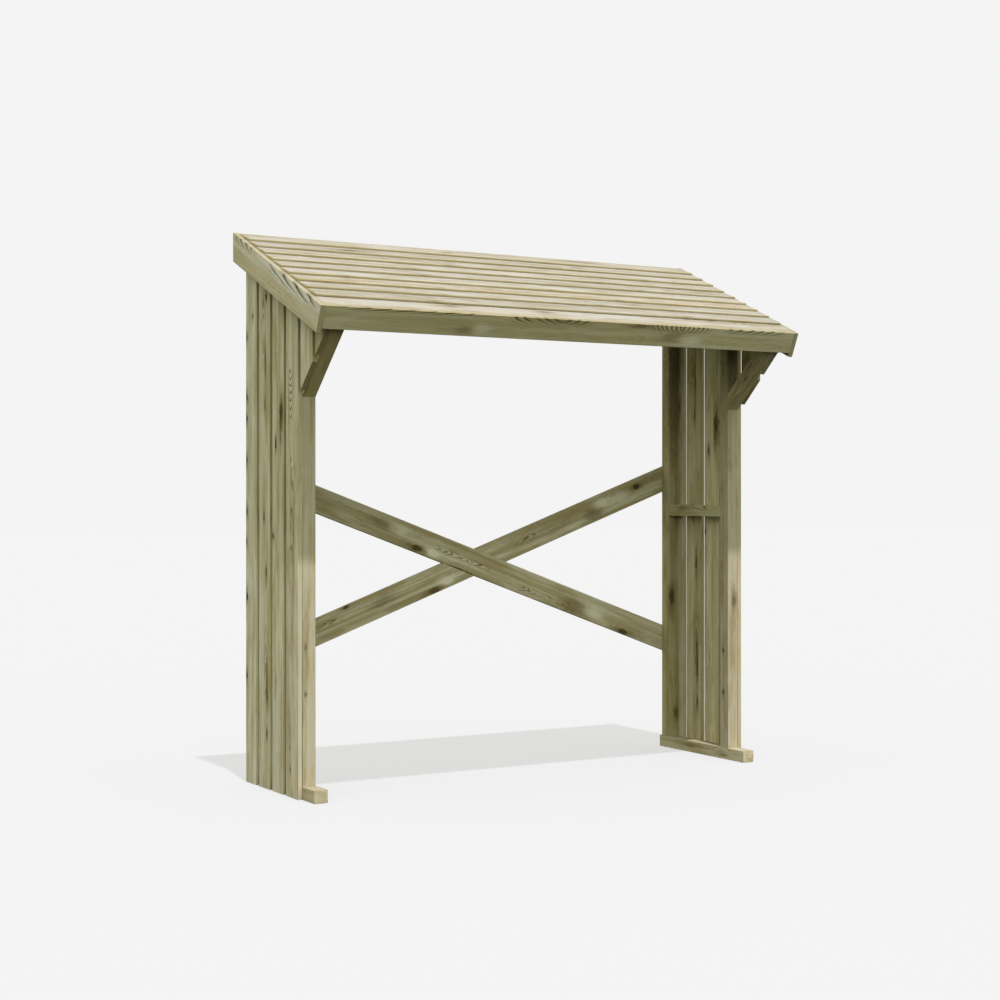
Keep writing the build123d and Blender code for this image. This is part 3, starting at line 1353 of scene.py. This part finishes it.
STORE_MARKS_AND_PAINTED_SHADE: dict[str, tuple[Mark, ...]] = {
    **{Side.LEFT.node(name): marks for name, marks in WALL_MARKS.items()},
    **{Side.RIGHT.node(name): tuple(mark.softer() for mark in marks) for name, marks in WALL_MARKS.items()},
    "left_slat_1": (
        *Mark.knots((0.596, -0.014, 0.006, 1.6)),
        *Mark.edges(
            (0.330, 0.016), (0.255, 0.018), (0.113, 0.017), (-0.059, 0.017), (-0.160, 0.014),
            (-0.346, 0.020), (-0.610, 0.018), (0.530, 0.015)),
    ),
    # The first two entries are painted shade, not knots: a broad dark patch at the top of the front face,
    # deep in the corner under the roof, and a long faint darkening down that face.
    "right_rear_post": Mark.knots(
        (0.350, -0.0225, 0.034, 3.0, 0.0, 0.6, 0.2, 0.0, 1.0),
        (-0.450, -0.0225, 0.024, 18.0, 0.0, 0.2, 0.0, 0.0, 0.9),
        (-0.411, -0.0225, 0.010, 3.0, 0.7, 0.7, 1.5, 0.010, 1.4),
        (-0.860, -0.0225, 0.010, 2.0, 0.4, 0.6, 1.5, -0.012, 1.4)),
    # The first entry is painted shade, not a knot: a broad dark patch at the top of the front face, under the
    # roof.
    "right_front_post": Mark.knots(
        (0.670, -0.0225, 0.036, 2.6, 0.0, 0.9, 0.2, 0.0, 1.0),
        (-0.330, -0.0225, 0.010, 2.0, 0.3, 0.6, 1.8, -0.004, 1.2),
        (-0.511, 0.004, 0.006, 1.6, 0.8, 0.5, 1.0, 0.0225, 1.0),
        (-0.666, 0.004, 0.006, 1.6, 0.8, 0.5, 1.0, 0.0225, 1.0)),
    # Painted shade, not a stain: a broad dark patch on the short slat behind the knee brace.
    "right_slat_5": Mark.smudges((-0.060, 0.020, 0.045, 2.0, 0.9)),
    "left_slat_5": Mark.smudges((0.150, 0.030, 0.012, 3.0, -0.9)),
    "back_brace_falling": (
        *Mark.smudges(
            (-0.400, 0.010, 0.024, 1.1, 0.48), (-0.342, 0.010, 0.020, 1.1, -0.8),
            (-0.184, -0.024, 0.015, 0.9, -1.3), (0.460, -0.014, 0.030, 1.0, 0.6),
            (0.545, -0.010, 0.022, 1.0, -0.9)),
        # The last of these knots is a painted shadow: a thin dark line along the lower edge of the falling
        # brace where it crosses the rising one.
        *Mark.knots(
            (-0.250, -0.030, 0.012, 2.0, 0.75), (0.697, -0.036, 0.011, 2.0, 0.75),
            (-0.054, -0.0450, 0.004, 17.0, 1.0, 0.5, 0.0)),
        *Mark.waves((-0.100, -0.010, 0.018, 1.3, -0.2)),
    ),
    "back_brace_rising": (
        *Mark.knots(
            (0.758, 0.016, 0.012, 1.05), (-0.196, -0.034, 0.013, 1.8, 0.5),
            (-0.543, 0.040, 0.006, 1.6, 0.7)),
        *Mark.smudges(
            (0.541, -0.014, 0.024, 0.9, 0.7), (0.586, 0.010, 0.020, 0.9, -0.9),
            (0.670, 0.004, 0.018, 1.2, -0.6), (-0.136, -0.022, 0.015, 0.9, -1.2),
            (-0.400, 0.006, 0.024, 1.1, 0.45)),
        *Mark.waves((0.270, 0.004, 0.018, 1.4, -0.2)),
    ),
    "front_fascia": (
        *Mark.smudges(
            (-0.420, -0.018, 0.014, 1.2, 0.55), (-0.358, -0.010, 0.017, 0.9, -0.7),
            (0.400, -0.004, 0.020, 1.4, 0.6), (0.468, -0.012, 0.018, 1.2, -1.0),
            (-0.060, 0.032, 0.010, 3.0, 0.4)),
        *Mark.knots((0.249, 0.030, 0.008, 4.0, 0.3, 0.6)),
    ),
    "roof_board_1": (
        *Mark.knots((-0.099, 0.002, 0.010, 2.0, 0.12, 0.6), (-0.445, 0.006, 0.010, 2.0, 0.12, 0.6)),
        *Mark.smudges((0.200, 0.0, 0.022, 3.0, -0.6), (-0.700, 0.0, 0.018, 3.0, -0.5)),
    ),
    "roof_board_2": Mark.lips(-0.495, 0.496),
    "roof_board_3": Mark.lips(-0.428, 0.180),
    "roof_board_4": Mark.lips(-0.404, 0.300),
    "roof_board_5": Mark.lips(-0.720, 0.060),
    "roof_board_6": Mark.lips(-0.397, 0.489),
    "roof_board_7": Mark.lips(-0.396, -0.040),
    "roof_board_8": Mark.lips(-0.224, 0.600),
    "roof_board_9": Mark.knots((-0.560, -0.020, 0.010, 4.0, 0.5), (0.370, -0.015, 0.007, 2.2, 0.3)),
    "roof_board_10": (
        *Mark.smudges((0.432, 0.002, 0.016, 2.6, 0.6)),
        *Mark.knots((-0.150, -0.020, 0.006, 2.0, 0.3)),
    ),
}

WALL_FEATHERS: dict[str, tuple[Feather, ...]] = {
    "slat_2": Feather.rows((0.560, 0.010, 0.160, 0.014, 0.090), (-0.540, -0.014, 0.150, 0.018, 0.070, 0.7)),
    "slat_4": Feather.rows((0.387, 0.010, 0.110, 0.020, -0.024, 1.0), (0.050, 0.000, 0.240, 0.022, 0.110)),
    "sole": Feather.rows((-0.050, 0.010, 0.200, 0.012, 0.060)),
    "mid_rail": Feather.rows((0.000, 0.012, 0.120, 0.014, 0.050)),
    "knee_brace": Feather.rows((0.020, 0.000, 0.140, 0.012, 0.050)),
    "bargeboard": Feather.rows(
        (-0.180, 0.045, 0.220, 0.032, 0.105, 1.0), (0.240, 0.045, 0.090, 0.028, 0.050, 0.9)),
}

STORE_FEATHERS: dict[str, tuple[Feather, ...]] = {
    **{side.node(name): feathers for side in Side for name, feathers in WALL_FEATHERS.items()},
    "back_brace_falling": Feather.rows(
        (-0.060, 0.000, 0.140, 0.014, 0.032), (0.320, -0.022, 0.150, 0.016, 0.034)),
    "back_brace_rising": Feather.rows(
        (0.300, 0.002, 0.150, 0.014, 0.032), (-0.680, 0.016, 0.130, 0.016, 0.045)),
    "front_fascia": Feather.rows(
        (0.425, 0.037, 0.150, 0.024, 0.019, 1.0, 1.0), (0.740, 0.040, 0.150, 0.020, 0.045, 1.0),
        (-0.060, 0.040, 0.130, 0.024, 0.036, 1.0, 1.0), (-0.215, 0.038, 0.045, 0.024, -0.040, 1.0),
        (-0.600, 0.040, 0.300, 0.015, 0.075, 0.9)),
    "roof_board_1": Feather.rows((0.640, 0.010, 0.160, 0.016, 0.060)),
    "roof_board_2": Feather.rows((-0.500, -0.010, 0.200, 0.016, 0.080)),
    "roof_board_3": Feather.rows((0.250, -0.010, 0.180, 0.016, 0.070)),
    "roof_board_4": Feather.rows((-0.200, -0.015, 0.200, 0.016, 0.080)),
    "roof_board_6": Feather.rows((0.500, -0.015, 0.200, 0.016, 0.080)),
    "roof_board_8": Feather.rows((-0.350, -0.015, 0.200, 0.016, 0.080)),
    "back_top_rail": Feather.rows(
        (0.300, 0.000, 0.250, 0.018, 0.060), (-0.450, 0.010, 0.200, 0.016, 0.050)),
}

# Each finish sets the painted shade and tone of its upward faces, which holds back the key light that falls
# on them head-on.
FINISHES = (
    TimberFinish(
        Slot.FRAME, tone(184, 175, 142), tone(130, 120, 84), tone(192, 187, 165), tone(148, 136, 98),
        top_tone=tone(188, 178, 156), top_share=0.5),
    TimberFinish(
        # Painted shade in the slots between slats.
        Slot.SLATS, tone(199, 193, 168), tone(124, 115, 80), tone(213, 211, 197), tone(163, 153, 117),
        ring_contrast=0.65, edge_tone=tone(152, 142, 92), edge_share=0.75),
    TimberFinish(
        Slot.BRACES, tone(181, 172, 135), tone(122, 111, 72), tone(226, 223, 200), tone(148, 135, 93),
        knot_rim=tone(100, 88, 52), ring_contrast=0.9, flame_strength=0.32),
    # Painted shade on the trim's sawn ends, over their darker end grain.
    TimberFinish(
        Slot.TRIM, tone(184, 177, 144), tone(96, 87, 50), tone(208, 206, 192), tone(156, 145, 105),
        knot_rim=tone(99, 88, 53), ring_contrast=0.6, plain_rings=0.5, flame_strength=0.2,
        streak_strength=0.35, weathering=0.55, top_tone=tone(176, 167, 136), top_share=0.9,
        edge_tone=tone(170, 161, 117), edge_share=0.75),
    # Painted light on the shaded front lips of the roof boards.
    TimberFinish(
        Slot.ROOF, tone(178, 172, 154), tone(134, 124, 93), tone(192, 190, 183), tone(146, 134, 101),
        flame_length=0.14, flame_width=0.026, flame_strength=0.45, streak_strength=0.4, weathering=0.44,
        top_share=0.0, edge_tone=tone(182, 169, 126), edge_share=0.8),
)


@dataclass
class Studio:
    """Pale floor, soft surrounding light, a high key light and the camera."""

    backdrop: Colour = tone(244, 244, 244)
    ground_bounce: Colour = (0.02, 0.02, 0.016)
    sky: Colour = (0.743, 0.749, 0.475)
    key_strength: float = 4.455
    key_tint: Colour = (0.97, 0.91, 1.0)
    key_travel: Triple = (0.17, 1.0, -2.9)
    key_angle: float = math.radians(1.2)
    top_strength: float = 1.55
    top_tint: Colour = (0.91, 0.945, 1.05)
    top_travel: Triple = (0.15, 0.6, -1.0)
    top_angle: float = math.radians(120.0)
    floor_size: float = 40.0
    floor_shade: Colour = (0.376, 0.387, 0.400)
    shadow_share: float = 0.3
    camera_place: Triple = (-3.2182, -5.284, 0.9701)
    camera_yaw: float = math.radians(30.5802)
    camera_lens: float = 64.11
    camera_rise: float = -0.0045
    sensor_width: float = 36.0

    def build(self) -> None:
        """Set up the whole studio."""
        self._surroundings()
        self._lamp("key", self.key_strength, self.key_tint, self.key_travel, self.key_angle)
        self._lamp("top", self.top_strength, self.top_tint, self.top_travel, self.top_angle)
        self._floor()
        self._camera()
        bpy.context.scene.view_settings.view_transform = "Standard"

    @staticmethod
    def _seen(sheet: NodeSheet) -> Value:
        """1 for rays by which the backdrop is seen, and 0 for light that falls on the store."""
        path = sheet.node("ShaderNodeLightPath")
        return path["Is Camera Ray"].larger(path["Is Glossy Ray"]).larger(path["Is Transmission Ray"])

    def _surroundings(self) -> None:
        """Light from all round, and the pale backdrop."""
        world = bpy.data.worlds.new("studio")
        bpy.context.scene.world = world
        world.use_nodes = True
        sheet = NodeSheet(world.node_tree)
        light, seen = (
            sheet.node("ShaderNodeBackground", {"Color": colour, "Strength": 1.0})["Background"]
            for colour in (self.sky, self.backdrop))
        sheet.node("ShaderNodeOutputWorld", {"Surface": sheet.mix(self._seen(sheet), light, seen)})

    @staticmethod
    def _lamp(name: str, strength: float, tint: Colour, travel: Triple, angle: float) -> None:
        """A distant lamp.

        Args:
            name: Its name.
            strength: Its strength.
            tint: Its colour.
            travel: Direction in which its light travels.
            angle: How wide it looks from the store.
        """
        lamp = bpy.data.lights.new(name, "SUN")
        lamp.energy = strength
        lamp.color = tint
        lamp.angle = angle
        lamp_object = bpy.data.objects.new(name, lamp)
        lamp_object.rotation_mode = "QUATERNION"
        lamp_object.rotation_quaternion = Vector(travel).to_track_quat("-Z", "Y")
        bpy.context.scene.collection.objects.link(lamp_object)

    def _floor(self) -> None:
        """Plain pale floor that takes the shadow and shows nothing from below."""
        shape = bmesh.new()
        bmesh.ops.create_grid(shape, x_segments=1, y_segments=1, size=self.floor_size)
        mesh = bpy.data.meshes.new("floor")
        shape.to_mesh(mesh)
        shape.free()
        material = bpy.data.materials.new("pale_floor")
        material.use_nodes = True
        sheet = NodeSheet(material.node_tree)
        bounce, shaded = (
            sheet.node("ShaderNodeBsdfDiffuse", {"Color": colour})["BSDF"]
            for colour in (self.ground_bounce, self.floor_shade))
        plain = sheet.node("ShaderNodeEmission", {"Color": self.backdrop, "Strength": 1.0})["Emission"]
        above = sheet.mix(self._seen(sheet), bounce, sheet.mix(self.shadow_share, plain, shaded))
        clear = sheet.node("ShaderNodeBsdfTransparent")["BSDF"]
        back = sheet.node("ShaderNodeNewGeometry")["Backfacing"]
        sheet.node("ShaderNodeOutputMaterial", {"Surface": sheet.mix(back, above, clear)})
        mesh.materials.append(material)
        floor = bpy.data.objects.new("floor", mesh)
        bpy.context.scene.collection.objects.link(floor)

    def _camera(self) -> None:
        """Camera at the photograph's place, level, looking to the back right."""
        lens = bpy.data.cameras.new("camera")
        lens.lens = self.camera_lens
        lens.sensor_width = self.sensor_width
        lens.shift_y = self.camera_rise
        camera = bpy.data.objects.new("camera", lens)
        camera.location = self.camera_place
        camera.rotation_euler = (math.radians(90.0), 0.0, -self.camera_yaw)
        bpy.context.scene.collection.objects.link(camera)
        bpy.context.scene.camera = camera


def main() -> None:
    """Build the store and the studio, and log the faces of each piece."""
    logging.basicConfig(level=logging.INFO, format="%(message)s")
    at = Stations()
    finishes = {finish.slot: finish.material() for finish in FINISHES}
    walls = (SideWall(Side.LEFT, at), SideWall(Side.RIGHT, at))
    for assembly in (*walls, BackFrame(at), RoofFrame(at), RoofCover(at)):
        for board in assembly.boards():
            piece = board.build(finishes)
            LOG.info("%s: %d faces", piece.name, len(piece.data.polygons))
    Studio().build()


if __name__ == "__main__":
    main()
